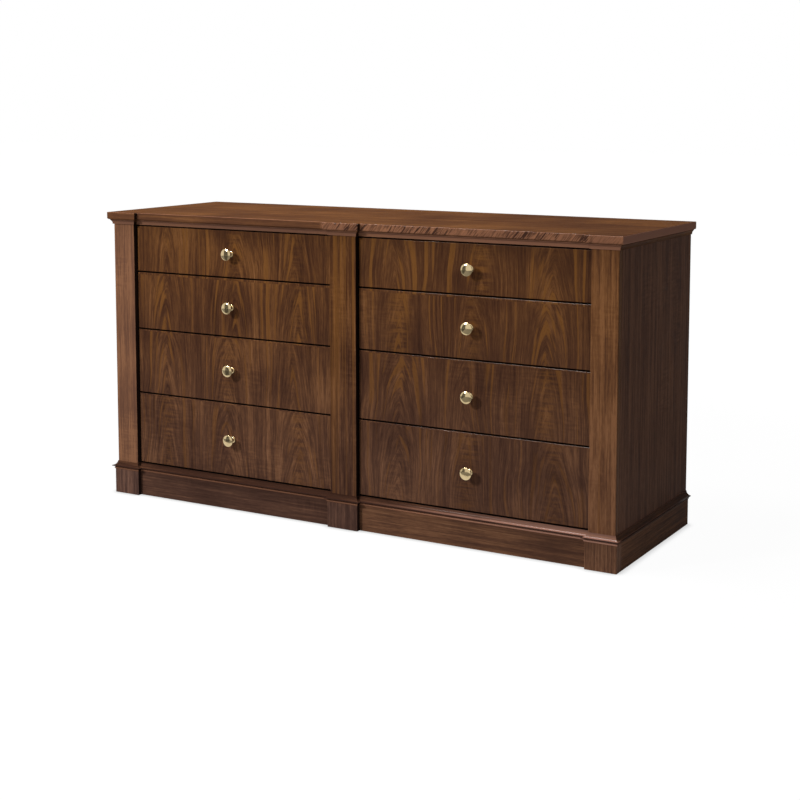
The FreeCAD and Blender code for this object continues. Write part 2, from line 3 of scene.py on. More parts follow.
import bmesh
import bpy
from mathutils import Euler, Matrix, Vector


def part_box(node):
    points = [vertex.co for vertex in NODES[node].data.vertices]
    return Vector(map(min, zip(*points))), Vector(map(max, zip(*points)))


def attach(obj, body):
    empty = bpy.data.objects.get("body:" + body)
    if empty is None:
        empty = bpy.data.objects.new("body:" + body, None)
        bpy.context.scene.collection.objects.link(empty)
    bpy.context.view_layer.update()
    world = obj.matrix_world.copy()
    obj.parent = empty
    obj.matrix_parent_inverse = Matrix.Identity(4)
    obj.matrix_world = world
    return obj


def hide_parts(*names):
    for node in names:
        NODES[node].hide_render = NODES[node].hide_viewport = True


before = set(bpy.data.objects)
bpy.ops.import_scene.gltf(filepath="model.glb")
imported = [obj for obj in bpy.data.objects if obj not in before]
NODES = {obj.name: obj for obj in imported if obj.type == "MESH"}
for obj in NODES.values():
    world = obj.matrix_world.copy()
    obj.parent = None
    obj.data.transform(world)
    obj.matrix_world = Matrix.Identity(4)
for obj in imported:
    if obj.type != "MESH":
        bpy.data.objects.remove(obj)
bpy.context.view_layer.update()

# The looks of a walnut double dresser, in metres, in the frame of its solids: +X to the right
# seen from the front, +Y to the back, +Z up, with the floor at zero.

ROWS = (1, 2, 3, 4)
COLUMNS = ("left", "right")
DRAWERS = [f"{column}_{row}" for column in COLUMNS for row in ROWS]
MILLIMETRE = 0.001

# Linear colours. A ramp is a row of tones, each with its colour.
WHITE = (1.0, 1.0, 1.0)
WALNUT = ((0.10, (0.046, 0.0178, 0.0090)), (0.34, (0.076, 0.0290, 0.0120)),
          (0.50, (0.104, 0.0410, 0.0150)), (0.68, (0.156, 0.0630, 0.0200)),
          (0.92, (0.235, 0.1010, 0.0350)))
# DUSK is a cooler, greyer ramp; where its share grows towards the floor it paints shade.
DUSK = ((0.10, (0.040, 0.0212, 0.0176)), (0.34, (0.066, 0.0358, 0.0296)),
        (0.50, (0.090, 0.0488, 0.0390)), (0.68, (0.138, 0.0730, 0.0545)),
        (0.92, (0.212, 0.1130, 0.0800)))
PORE = (0.022, 0.0085, 0.0055)
GOLD = (0.205, 0.0830, 0.0205)
# BLUSH, PALE and LILAC mostly paint highlights, sheen and light bounced from the floor. DARK paints
# shade in quirks, under edges and in countersinks as well as dark flecks. PAINTED_SHADE_BLACK is near
# black and paints shade in gaps and on faces beside the bays.
BLUSH = (0.250, 0.1300, 0.0900)
PALE = (0.420, 0.1900, 0.1080)
LILAC = (0.460, 0.2350, 0.1750)
DARK = (0.036, 0.0165, 0.0125)
PAINTED_SHADE_BLACK = (0.006, 0.0040, 0.0035)
MAPLE = ((0.20, (0.33, 0.19, 0.095)), (0.50, (0.48, 0.31, 0.170)), (0.85, (0.60, 0.42, 0.25)))
POPLAR = ((0.20, (0.25, 0.15, 0.075)), (0.50, (0.38, 0.25, 0.130)), (0.85, (0.47, 0.33, 0.19)))
PLY_TONE = (0.130, 0.068, 0.034)
BACK_PLY = ((0.20, (0.085, 0.043, 0.021)), (0.50, PLY_TONE), (0.85, (0.185, 0.102, 0.053)))
ZINC = (0.30, 0.29, 0.27)
STEEL = ((0.3, (0.44, 0.46, 0.48)), (0.7, (0.60, 0.61, 0.60)))
BRASS = ((0.3, (0.55, 0.424, 0.230)), (0.7, (0.67, 0.525, 0.300)))

# Noises: waves per metre along three coordinates, of which the last follows the grain in a wood,
# then the detail and, where it isn't plain, the roughness.
CLOUD = ((5.0, 5.0, 5.0), 1.0)
BROAD = ((24.0, 24.0, 1.0), 1.5)
STREAK = ((85.0, 85.0, 1.6), 2.5, 0.6)
FINE = ((270.0, 270.0, 8.0), 1.5)
DASH = ((210.0, 210.0, 42.0), 1.5)
RIPPLE = ((24.0, 24.0, 140.0), 1.0)
RIPPLE_PATCH = ((5.0, 5.0, 3.0), 1.0)
VEIN = ((76.0, 76.0, 0.8), 2.0)
PORES = ((1000.0, 1000.0, 40.0), 1.0)
LEAF_SWAY = ((6.0, 1.0, 3.0), 1.5)
BOLD_FLECK = ((170.0, 1.0, 26.0), 1.0)
FLECK_CLUSTER = ((11.0, 1.0, 1.0), 1.0)
FAINT_FLECK = ((270.0, 1.0, 50.0), 1.5)
SOFT_BAND = ((14.0, 14.0, 0.9), 2.0)
SOFT_FIBRE = ((160.0, 160.0, 4.0), 2.0)
STEEL_MOTTLE = ((90.0, 30.0, 90.0), 3.0)
BRASS_MOTTLE = ((60.0, 60.0, 60.0), 3.0)


class Graph:
    """A node tree with short ways to add the nodes that the materials here are made of."""

    def __init__(self, tree):
        self.tree = tree
        tree.nodes.clear()

    def add(self, kind, **settings):
        node = self.tree.nodes.new(kind)
        for name, value in settings.items():
            setattr(node, name, value)
        return node

    def feed(self, socket, value):
        """Give a socket a constant, or link it to another node's output."""
        if isinstance(value, bpy.types.NodeSocket):
            self.tree.links.new(value, socket)
        elif hasattr(socket.default_value, "__len__") and len(value) < len(socket.default_value):
            socket.default_value = (*value, 1.0)
        else:
            socket.default_value = value

    def math(self, operation, a, b=0.0, c=0.0):
        node = self.add("ShaderNodeMath", operation=operation)
        for socket, value in zip(node.inputs, (a, b, c)):
            self.feed(socket, value)
        return node.outputs[0]

    def times(self, a, b):
        return self.math("MULTIPLY", a, b)

    def total(self, *terms):
        """The sum of pairs of a factor and a share."""
        result = 0.0
        for value, share in terms:
            result = self.math("MULTIPLY_ADD", value, share, result)
        return result

    def about(self, value, spread, middle):
        """A value spread about a middle."""
        return self.math("MULTIPLY_ADD", value, spread, middle)

    def length(self, a, b):
        """The length of a line from its parts along two axes."""
        return self.math("SQRT", self.total((self.times(a, a), 1.0), (self.times(b, b), 1.0)))

    def bell(self, value, width):
        """1 where the value is zero, falling off to both sides within a width."""
        return self.math("EXPONENT", self.times(self.times(value, value), -1 / width ** 2))

    def join(self, x, y, z):
        node = self.add("ShaderNodeCombineXYZ")
        for socket, value in zip(node.inputs, (x, y, z)):
            self.feed(socket, value)
        return node.outputs[0]

    def split(self, vector):
        node = self.add("ShaderNodeSeparateXYZ")
        self.feed(node.inputs[0], vector)
        return tuple(node.outputs)

    def stretch(self, vector, scale):
        node = self.add("ShaderNodeVectorMath", operation="MULTIPLY")
        self.feed(node.inputs[0], vector)
        self.feed(node.inputs[1], scale)
        return node.outputs[0]

    def noise(self, vector, scale, detail, roughness=0.5):
        """Noise about zero, from -0.5 to 0.5, on a vector stretched by three scales."""
        node = self.add("ShaderNodeTexNoise")
        self.feed(node.inputs["Vector"], self.stretch(vector, scale))
        self.feed(node.inputs["Scale"], 1.0)
        self.feed(node.inputs["Detail"], detail)
        self.feed(node.inputs["Roughness"], roughness)
        return self.math("SUBTRACT", node.outputs["Fac"], 0.5)

    def chance(self, value):
        """A steady random number from 0 to 1 for each value."""
        node = self.add("ShaderNodeTexWhiteNoise", noise_dimensions="1D")
        self.feed(node.inputs["W"], value)
        return node.outputs["Value"]

    def step(self, value, low, high, start=0.0, end=1.0):
        """A smooth step from start to end as the value goes from low to high."""
        node = self.add("ShaderNodeMapRange", interpolation_type="SMOOTHSTEP")
        for name, number in (("Value", value), ("From Min", low), ("From Max", high),
                             ("To Min", start), ("To Max", end)):
            self.feed(node.inputs[name], number)
        return node.outputs[0]

    def ramp(self, factor, stops):
        node = self.add("ShaderNodeValToRGB")
        elements = node.color_ramp.elements
        while len(elements) < len(stops):
            elements.new(1.0)
        for element, (place, colour) in zip(elements, stops):
            element.position = place
            element.color = (*colour, 1.0)
        self.feed(node.inputs[0], factor)
        return node.outputs["Color"]

    def mix(self, factor, a, b):
        """The colour a where the factor is 0 and b where it is 1."""
        node = self.add("ShaderNodeMix", data_type="RGBA")
        self.feed(node.inputs["Factor"], factor)
        self.feed(node.inputs[6], a)
        self.feed(node.inputs[7], b)
        return node.outputs[2]

    def pick(self, mask, a, b):
        """The vector a where the mask is 0 and b where it is 1."""
        node = self.add("ShaderNodeMix", data_type="VECTOR")
        self.feed(node.inputs[0], mask)
        self.feed(node.inputs[4], a)
        self.feed(node.inputs[5], b)
        return node.outputs[1]

    def bump(self, height, distance):
        node = self.add("ShaderNodeBump")
        self.feed(node.inputs["Strength"], 1.0)
        self.feed(node.inputs["Distance"], distance)
        self.feed(node.inputs["Height"], height)
        return node.outputs[0]

    def surface(self, **inputs):
        """The one shader of a material, with its sockets by name."""
        shader = self.add("ShaderNodeBsdfPrincipled")
        for name, value in inputs.items():
            self.feed(shader.inputs[name.replace("_", " ")], value)
        self.show(shader.outputs[0])

    def show(self, shader):
        """Make a shader the material's surface."""
        out = self.add("ShaderNodeOutputMaterial")
        self.feed(out.inputs["Surface"], shader)

    def diffuse(self, tone):
        """A plain grey shader."""
        node = self.add("ShaderNodeBsdfDiffuse")
        self.feed(node.inputs["Color"], (tone, tone, tone))
        return node.outputs[0]

    def blend(self, factor, a, b):
        """The shader a where the factor is 0 and b where it is 1."""
        node = self.add("ShaderNodeMixShader")
        for socket, value in zip(node.inputs, (factor, a, b)):
            self.feed(socket, value)
        return node.outputs[0]


def new_material(name):
    material = bpy.data.materials.new(name)
    material.use_nodes = True
    return material, Graph(material.node_tree)


def spot(graph):
    """The place of a point on the dresser at rest, as a vector."""
    return graph.add("ShaderNodeTexCoord").outputs["Object"]


def places(graph):
    """The place of a point on the dresser at rest, as x, y and z."""
    return graph.split(spot(graph))


def looks(graph):
    """The way a face looks, as x, y and z."""
    return graph.split(graph.add("ShaderNodeNewGeometry").outputs["Normal"])


def facing(graph):
    """How far a face looks along each axis, without its sign."""
    return [graph.math("ABSOLUTE", part) for part in looks(graph)]


# Masks: 1 on some faces of a piece and 0 on the others. Each range of a face's look or place goes
# from where its mask is 0 to where it is 1.

ALONG_AXIS = (0.6, 0.9)
AGAINST_AXIS = (-0.6, -0.9)
ACROSS_AXIS = (0.5, 0.2)
ARRIS_OVER_SIDE = (0.15, 0.45)
ARRIS_UNDER_TOP = (0.97, 0.88)
EDGE_LOOK = (0.75, 0.65)
NOT_TO_BACK = (0.6, 0.3)
END_LOOK = (0.4, 0.7)
RIGHT_END_X = (0.84, 0.86)
BAYS_X = (0.80, 0.70)
FLECKED_X = (-0.080, -0.066)


def forward(graph):
    """Faces that don't look to the sides."""
    return graph.step(facing(graph)[0], *ACROSS_AXIS)


def upper_arrises(graph):
    """Rounded arrises that look up, without the flat faces of a squared piece."""
    z = looks(graph)[2]
    return graph.times(graph.step(z, *ARRIS_OVER_SIDE), graph.step(z, *ARRIS_UNDER_TOP))


def returns(graph):
    """The small faces that look to the right beside a bay."""
    turned = graph.step(looks(graph)[0], *ALONG_AXIS)
    return graph.times(turned, graph.step(places(graph)[0], *BAYS_X))


def right_end(graph):
    """The faces of the right end."""
    turned = graph.step(looks(graph)[0], *END_LOOK)
    return graph.times(turned, graph.step(places(graph)[0], *RIGHT_END_X))


def top_edge(graph):
    """The edge of the top, without its flat faces."""
    return graph.step(facing(graph)[2], *EDGE_LOOK)


def seen_edge(graph):
    """The edge of the top, but not at the back."""
    return graph.times(top_edge(graph), graph.step(looks(graph)[1], *NOT_TO_BACK))


def flecked_part(graph):
    """The part of the top's edge from the centre pilaster to the right end."""
    return graph.step(places(graph)[0], *FLECKED_X)


# Shares: a number, or a function that makes one from a graph.

def made(graph, share):
    """What a share comes to in a graph."""
    return share(graph) if callable(share) else share


def within(mask, share):
    """A share on the faces of a mask."""
    return lambda graph: graph.times(mask(graph), made(graph, share))


def greatest(*shares):
    """The greatest of several shares at each point."""
    def share_of(graph):
        result = 0.0
        for share in shares:
            result = graph.math("MAXIMUM", made(graph, share), result)
        return result
    return share_of


def over(axis, *stops):
    """A share that goes smoothly through stops, each a place along an axis and a share."""
    def share_of(graph):
        place = places(graph)["xyz".index(axis)]
        result = stops[0][1]
        for (low, start), (high, end) in zip(stops, stops[1:]):
            result = graph.math("ADD", graph.step(place, low, high, 0.0, end - start), result)
        return result
    return share_of


def band(low, high, blur, share):
    """A share between two heights, on faces that don't look to the sides."""
    def between(graph):
        z = places(graph)[2]
        return graph.times(graph.step(z, low - blur, low), graph.step(z, high + blur, high))
    return within(forward, within(between, share))


def on_sides(to_left, to_right):
    """Shares on the faces that look to the left and to the right."""
    def share_of(graph):
        x = looks(graph)[0]
        right = graph.step(x, *ALONG_AXIS, 0.0, to_right)
        return graph.math("ADD", right, graph.step(x, *AGAINST_AXIS, 0.0, to_left))
    return share_of


def on_top(edge, face):
    """One share on the edge of the top and another on its flat faces."""
    return lambda graph: graph.about(top_edge(graph), edge - face, face)


# Grain: functions of a graph that give coordinates, two across the grain and the last along it, and
# a mask of the hearts of arched veneer.

def grain(graph, axis):
    x, y, z = places(graph)
    return graph.join(*{"x": (y, z, x), "y": (z, x, y), "z": (x, y, z)}[axis])


def along(axis):
    """Straight grain along an axis."""
    return lambda graph: (grain(graph, axis), 0.0)


CASE_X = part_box("right_pilaster")[1].x
FACE_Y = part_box("right_pilaster")[0].y


def along_length(graph):
    """Grain along each length of a moulding, which turns at the mitres of the case's front corners."""
    x, y, _ = places(graph)
    reach = graph.math("ADD", graph.math("ABSOLUTE", x), y)
    to_side = graph.math("GREATER_THAN", reach, CASE_X + FACE_Y)
    return graph.pick(to_side, grain(graph, "x"), grain(graph, "y")), 0.0


LEAN = -0.8
SLANT_STRETCH = 0.4
GRAIN_SLICE = 0.3
FLECK_SLICE = 0.7


def slant(graph):
    """A coordinate along the edge of the top that leans to the right as it rises."""
    x, y, z = places(graph)
    return graph.total((x, 1.0), (y, 1.0), (z, LEAN))


def fascia_and_top(graph):
    """Grain along the top and the left bay's edge, and slanting across the rest of the edge."""
    slanted = graph.times(top_edge(graph), flecked_part(graph))
    leaning = graph.join(slant(graph), GRAIN_SLICE, graph.times(places(graph)[2], SLANT_STRETCH))
    return graph.pick(slanted, grain(graph, "x"), leaning), 0.0


# Flecks show where their noise passes from the first to the second value of a cut.
BOLD_CUT = (0.02, 0.10)
BOLD_SHARE = 0.90
CLUSTER_CUT = (-0.16, 0.06)
FAINT_CUT = (-0.04, 0.16)
FAINT_SHARE = 0.6
CORNER_X = (0.78, 0.80)
CORNER_SHARE = 0.5


def fascia_flecks(graph):
    """Dark flecks that lean across the front edge of the top, in clusters, beside fainter ones."""
    x, _, z = places(graph)
    place = graph.join(slant(graph), FLECK_SLICE, z)
    bold = graph.step(graph.noise(place, *BOLD_FLECK), *BOLD_CUT, 0.0, BOLD_SHARE)
    cluster = graph.step(graph.noise(place, *FLECK_CLUSTER), *CLUSTER_CUT)
    faint = graph.step(graph.noise(place, *FAINT_FLECK), *FAINT_CUT, 0.0, FAINT_SHARE)
    flecks = graph.math("MAXIMUM", graph.times(bold, cluster), faint)
    flecks = graph.times(flecks, graph.step(x, *CORNER_X, 1.0, CORNER_SHARE))
    to_front = graph.step(looks(graph)[1], *AGAINST_AXIS)
    return graph.times(graph.times(flecks, to_front), flecked_part(graph))


# The heights of the middles of the drawer fronts, from below.
MIDDLES = [sum(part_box(f"drawer_front_left_{row}"), Vector()).z / 2 for row in reversed(ROWS)]


def from_middle(graph, z):
    """The height over the middle of the drawer front at z, and the number of that row from below."""
    height = graph.math("SUBTRACT", z, MIDDLES[0])
    row = 0.0
    for below, above in zip(MIDDLES, MIDDLES[1:]):
        passed = graph.math("GREATER_THAN", z, (below + above) / 2)
        height = graph.math("MULTIPLY_ADD", passed, below - above, height)
        row = graph.math("ADD", passed, row)
    return height, row


# A leaf's heart lies at a share of its width, and its arches rise by a share of the height.
LEAVES = 3
HEART_FROM = 0.42
HEART_SPREAD = 0.16
HEART_ROUND = 0.006
HEART_WIDTH = 0.028
SWAY_REACH = 0.065
ARCH_WIDTH = 0.055
RISE_FROM = 0.16
RISE_SPREAD = 0.22
WILD_CHANCE = (0.30, 0.80)
# Numbers that keep the chances and noises of rows, columns and uses apart.
ROW_DRAW = 17.0
COLUMN_DRAW = 40.0
RISE_DRAW = 3.0
WILD_DRAW = 9.0
ROW_SWAY = 5.0
ROW_SLICE = 7.3
SLICE_LEAN = 0.3


def leaves_of_veneer(left, leaf):
    """Upright leaves with arched grain, laid side by side from the left."""
    def shape(graph):
        x, _, z = places(graph)
        height, row = from_middle(graph, z)
        across = graph.math("DIVIDE", graph.math("SUBTRACT", x, left), leaf)
        number = graph.math("FLOOR", across)
        draw = graph.total((row, ROW_DRAW), (number, 1.0), (1.0, COLUMN_DRAW * left))
        heart = graph.about(graph.chance(draw), HEART_SPREAD, HEART_FROM)
        aside = graph.times(graph.math("SUBTRACT", graph.math("FRACT", across), heart), leaf)
        sway = graph.noise(graph.join(x, graph.times(row, ROW_SWAY), z), *LEAF_SWAY)
        aside = graph.about(sway, SWAY_REACH, aside)
        ring = graph.math("SQRT", graph.math("MULTIPLY_ADD", aside, aside, HEART_ROUND ** 2))
        rise_chance = graph.chance(graph.math("ADD", draw, RISE_DRAW))
        rise = graph.about(rise_chance, RISE_SPREAD, RISE_FROM)
        arch = graph.times(graph.bell(aside, ARCH_WIDTH), height)
        ring = graph.math("MULTIPLY_ADD", arch, rise, ring)
        wild = graph.step(graph.chance(graph.math("ADD", draw, WILD_DRAW)), *WILD_CHANCE)
        beside = graph.total((x, SLICE_LEAN), (row, ROW_SLICE), (1.0, COLUMN_DRAW * left))
        return graph.join(ring, beside, z), graph.times(graph.bell(aside, HEART_WIDTH), wild)
    return shape


# Ripples, veins, flames and pores show where their noise passes through a cut.
RIPPLE_CUT = (0.04, 0.18)
VEIN_CUT = (0.05, 0.17)
FLAME_CUT = (-0.15, 0.20)
FLAME_SHARES = (0.1, 0.8)
PORE_CUT = (0.10, 0.22)
PORE_SHARE = 0.45
WALNUT_RELIEF = 0.00012
COAT_ROUGHNESS = 0.14


def walnut(name, shape, lift, spread, clouds=0.40, gold=0.0, dark=0.0, dusk=0.0, blush=0.0,
           pale=0.0, lilac=0.0, painted_shade=0.0, lacquer=0.0, gloss=0.03, roughness=0.45):
    """Lacquered walnut.

    shape gives the grain. lift makes the wood paler and spread livelier. clouds is the weight of broad
    patches, gold the share of golden streaks, dusk that of a cooler, greyer colour, which paints shade
    where it grows towards the floor, and lacquer the weight of a clear coat. dark, blush, pale, lilac
    and stain are shares of those colours: blush, pale and lilac mostly paint highlights, sheen and
    light bounced from the floor, dark paints shade in quirks and under edges besides real dark flecks,
    and stain paints near-black shade in gaps and on faces beside the bays. gloss is the specular
    level and roughness the mean roughness. All but clouds, gloss and roughness may be functions.
    """
    material, graph = new_material(name)
    place, hearts = shape(graph)
    cloud = graph.noise(spot(graph), *CLOUD)
    broad = graph.noise(place, *BROAD)
    streak = graph.noise(place, *STREAK)
    fine = graph.noise(place, *FINE)
    dash = graph.noise(place, *DASH)
    ripple = graph.noise(place, *RIPPLE)
    rippled = graph.step(graph.noise(place, *RIPPLE_PATCH), *RIPPLE_CUT)
    rippling = graph.times(ripple, graph.math("MAXIMUM", rippled, hearts))
    figure = graph.total((cloud, clouds), (broad, 0.26), (streak, 0.52), (fine, 0.42), (dash, 0.20),
                         (rippling, 0.22))
    middle = graph.math("ADD", made(graph, lift), 0.5)
    tone = graph.about(figure, made(graph, spread), middle)
    colour = graph.ramp(tone, WALNUT)
    if dusk:
        colour = graph.mix(made(graph, dusk), colour, graph.ramp(tone, DUSK))
    if gold:
        vein = graph.step(graph.noise(place, *VEIN), *VEIN_CUT)
        flame = graph.times(hearts, graph.step(ripple, *FLAME_CUT, *FLAME_SHARES))
        golden = graph.times(graph.math("MAXIMUM", vein, flame), made(graph, gold))
        colour = graph.mix(golden, colour, GOLD)
    pore = graph.step(graph.noise(place, *PORES), *PORE_CUT)
    colour = graph.mix(graph.times(pore, PORE_SHARE), colour, PORE)
    for share, other in ((blush, BLUSH), (pale, PALE), (lilac, LILAC), (dark, DARK), (painted_shade, PAINTED_SHADE_BLACK)):
        if share:
            colour = graph.mix(made(graph, share), colour, other)
    relief = graph.total((pore, -0.6), (fine, 0.4))
    graph.surface(Base_Color=colour, Roughness=graph.about(fine, spread=0.16, middle=roughness),
                  Specular_IOR_Level=gloss, Coat_Weight=made(graph, lacquer),
                  Coat_Roughness=COAT_ROUGHNESS, Normal=graph.bump(relief, WALNUT_RELIEF))
    return material


PLAIN_RELIEF = 0.0001


def plain_wood(name, axis, stops, gloss=0.15, detail=None):
    """Unfigured wood with grain along an axis. detail changes its colour in places."""
    material, graph = new_material(name)
    place = grain(graph, axis)
    tone = graph.total((graph.noise(place, *SOFT_BAND), 0.5), (graph.noise(place, *SOFT_FIBRE), 0.45))
    colour = graph.ramp(graph.math("ADD", tone, 0.5), stops)
    if detail:
        colour = detail(graph, colour)
    graph.surface(Base_Color=colour, Roughness=graph.about(tone, spread=0.2, middle=0.55),
                  Specular_IOR_Level=gloss, Normal=graph.bump(tone, PLAIN_RELIEF))
    return material


# Where the inner woods turn to painted shade at the front and to the ply's colour at the rear.
FRONT_SHADE_Y = (-0.180, -0.186)
REAR_STAIN_Y = (0.270, 0.276)


def gap_shade_and_ply_end(graph, colour):
    """Painted shade in near black at the front, where it shows in the gaps between drawers, and like the
    ply at the rear.
    """
    y = places(graph)[1]
    colour = graph.mix(graph.step(y, *FRONT_SHADE_Y), colour, PAINTED_SHADE_BLACK)
    return graph.mix(graph.step(y, *REAR_STAIN_Y), colour, PLY_TONE)


BACK_LOW, BACK_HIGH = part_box("back_panels")
SCREW_INSET = 0.010
SCREW_HEAD = 0.0034
SCREW_SINK = 0.0046
SCREW_BLUR = 0.0004
SCREW_ROWS = 5
FAR_AWAY = 1.0


def back_screws(graph, colour):
    """Flush screw heads round both back panels, each in a ring of painted shade for its countersink."""
    x, _, z = places(graph)
    side = graph.math("ABSOLUTE", x)
    rise = graph.math("SUBTRACT", z, BACK_LOW.z)
    width = BACK_HIGH.x
    height = BACK_HIGH.z - BACK_LOW.z
    nearest = FAR_AWAY
    for across, breadth, up, run in ((side, width, rise, height), (rise, height, side, width)):
        pitch = run / SCREW_ROWS
        step = graph.math("SUBTRACT", graph.math("FRACT", graph.math("DIVIDE", up, pitch)), 0.5)
        step = graph.times(step, pitch)
        for line in (SCREW_INSET, breadth - SCREW_INSET):
            away = graph.length(graph.math("SUBTRACT", across, line), step)
            nearest = graph.math("MINIMUM", away, nearest)
    for radius, other in ((SCREW_SINK, DARK), (SCREW_HEAD, ZINC)):
        colour = graph.mix(graph.step(nearest, radius, radius - SCREW_BLUR), colour, other)
    return colour


def steel(name):
    """Zinc-plated steel with a faint mottle."""
    material, graph = new_material(name)
    mottle = graph.noise(spot(graph), *STEEL_MOTTLE)
    graph.surface(Base_Color=graph.ramp(graph.math("ADD", mottle, 0.5), STEEL), Metallic=1.0,
                  Roughness=graph.about(mottle, spread=0.2, middle=0.34))
    return material


KNOB_X = sum(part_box("knob_right_1"), Vector()).x / 2
TURNING_PITCH = 0.0007
TURNING_DEPTH = 0.0000015


def brass(name):
    """Pale polished brass with a trace of turning."""
    material, graph = new_material(name)
    x, _, z = places(graph)
    mottle = graph.noise(spot(graph), *BRASS_MOTTLE)
    side = graph.math("SUBTRACT", graph.math("ABSOLUTE", x), KNOB_X)
    height, _ = from_middle(graph, z)
    wave = graph.math("SINE", graph.times(graph.length(side, height), math.tau / TURNING_PITCH))
    graph.surface(Base_Color=graph.ramp(graph.math("ADD", mottle, 0.5), BRASS), Metallic=1.0,
                  Roughness=graph.about(mottle, spread=0.06, middle=0.10),
                  Normal=graph.bump(wave, TURNING_DEPTH))
    return material


def bend(start, pull, end, steps):
    """Points of a curve from start to end that leans towards pull, without its start."""
    points = []
    for number in range(1, steps + 1):
        t = number / steps
        points.append(tuple((1 - t) ** 2 * a + 2 * t * (1 - t) * b + t * t * c
                            for a, b, c in zip(start, pull, end)))
    return points


# Half outlines in millimetres: a radius, and how far a point stands out from the drawer front.
KNOB_REACH = 30
FACE_RADIUS = 12.4
FACE_RISE = 1.25


def knob_face(radius):
    """A point of the knob's low domed face."""
    return radius, KNOB_REACH - FACE_RISE * (radius / FACE_RADIUS) ** 2


KNOB_OUTLINE = [
    (0, 12), (2.1, 12), (2.1, 0), (9.7, 0), (10, 0.3),
    (10, 1.4), *bend((10, 1.4), (10, 2), (9.4, 2), 3),
    (8.8, 2.1), *bend((8.8, 2.1), (6.5, 2.8), (6.5, 6.5), 6),
    (6.5, 13.5), *bend((6.5, 13.5), (6.6, 19), (16.8, 24), 9),
    *bend((16.8, 24), (18, 24.5), (18, 25.4), 4),
    (18, 26), *bend((18, 26), (18, 26.8), (17.2, 27.1), 4),
    (13.3, 28.5), *bend((13.3, 28.5), (12.9, 28.65), knob_face(FACE_RADIUS), 2),
    *map(knob_face, (11, 9.5, 7.5, 5, 2.5, 0)),
]
SCREW_OUTLINE = [
    (0, 10), (2, 10), (2, -34), (3.7, -34), (4, -34.3),
    (4, -35.2), *bend((4, -35.2), (3.8, -36.3), (0, -36.5), 5),
]
TURNS = 40
SHARP_ANGLE = math.radians(38)


def ring_of(mesh, middle, radius, out):
    """The ring that a point of an outline makes, which is one point on the axis itself."""
    count = TURNS if radius else 1
    ring = []
    for number in range(count):
        angle = math.tau * number / count
        side = radius * MILLIMETRE * math.cos(angle)
        rise = radius * MILLIMETRE * math.sin(angle)
        ring.append(mesh.verts.new((middle.x + side, middle.y - out * MILLIMETRE, middle.z + rise)))
    return ring


def turn(mesh, outline, middle):
    """Add an outline turned about the line through a knob's middle."""
    rings = [ring_of(mesh, middle, radius, out) for radius, out in outline]
    for one, two in zip(rings, rings[1:]):
        for number in range(TURNS):
            after = number + 1
            corners = [one[number % len(one)], one[after % len(one)],
                       two[after % len(two)], two[number % len(two)]]
            mesh.faces.new(list(dict.fromkeys(corners)))


def turned_knob(name, material):
    """A drawer's knob and its screw, which stand for those of the frame."""
    low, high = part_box(f"knob_{name}")
    middle = (low + high) / 2
    middle.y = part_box(f"drawer_front_{name}")[0].y
    shape = bmesh.new()
    for outline in (KNOB_OUTLINE, SCREW_OUTLINE):
        turn(shape, outline, middle)
    bmesh.ops.recalc_face_normals(shape, faces=shape.faces)
    mesh = bpy.data.meshes.new(f"turned_knob_{name}")
    shape.to_mesh(mesh)
    shape.free()
    mesh.shade_smooth()
    mesh.set_sharp_from_angle(angle=SHARP_ANGLE)
    mesh.materials.append(material)
    knob = bpy.data.objects.new(f"turned_knob_{name}", mesh)
    bpy.context.scene.collection.objects.link(knob)
    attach(knob, f"drawer_{name}")
    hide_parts(f"knob_{name}")


# The dressing of each group of pieces. In an over, the first of each pair is a place in metres.

def dress(material, *nodes):
    for node in nodes:
        for slot in NODES[node].material_slots:
            slot.material = material


# Specular levels. They are low because the faces mirror a white room, which would grey the wood.
SATIN = 0.012
MATT = 0.006
DULL = 0.004
# Shares of painted shade, in near black, on the edges of the drawer fronts.
EDGE_SHADE = 0.97
END_SHADE = 0.78
END_OF_FRONT = (0.5, 0.8)
SECOND_ROW_DROP = 0.04


def gap_shade_on_fronts(graph):
    """Painted shade in near black on the edges of a drawer front, where they show in the gaps, less on
    its ends than above and below.
    """
    x, y, _ = facing(graph)
    painted_shade = graph.step(x, *END_OF_FRONT, EDGE_SHADE, END_SHADE)
    return graph.times(graph.step(y, *ACROSS_AXIS), painted_shade)


def dress_fronts(column, spread, lift, dusk_below, dusk_above):
    """Arched veneer on a column of fronts, cooler towards the floor as painted shade, with painted shade
    on its edges in the gaps, and darker in the second row.
    """
    low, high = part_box(f"drawer_front_{column}_4")
    leaf = (high.x - low.x) / LEAVES
    second = lift - SECOND_ROW_DROP
    # dusk paints shade that grows towards the floor, and stain paints near-black shade on the edges in
    # the gaps.
    front = walnut(f"walnut_front_{column}", leaves_of_veneer(low.x, leaf), spread=spread,
                   lift=over("z", (0.50, lift), (0.58, second), (0.70, second), (0.76, lift)),
                   gold=over("z", (0.15, 0.32), (0.85, 0.80)),
                   dusk=over("z", (0.12, dusk_below), (0.80, dusk_above)),
                   painted_shade=gap_shade_on_fronts,
                   lacquer=within(upper_arrises, over("x", (0.10, 0.0), (0.60, 0.7))))
    dress(front, *(f"drawer_front_{column}_{row}" for row in ROWS))


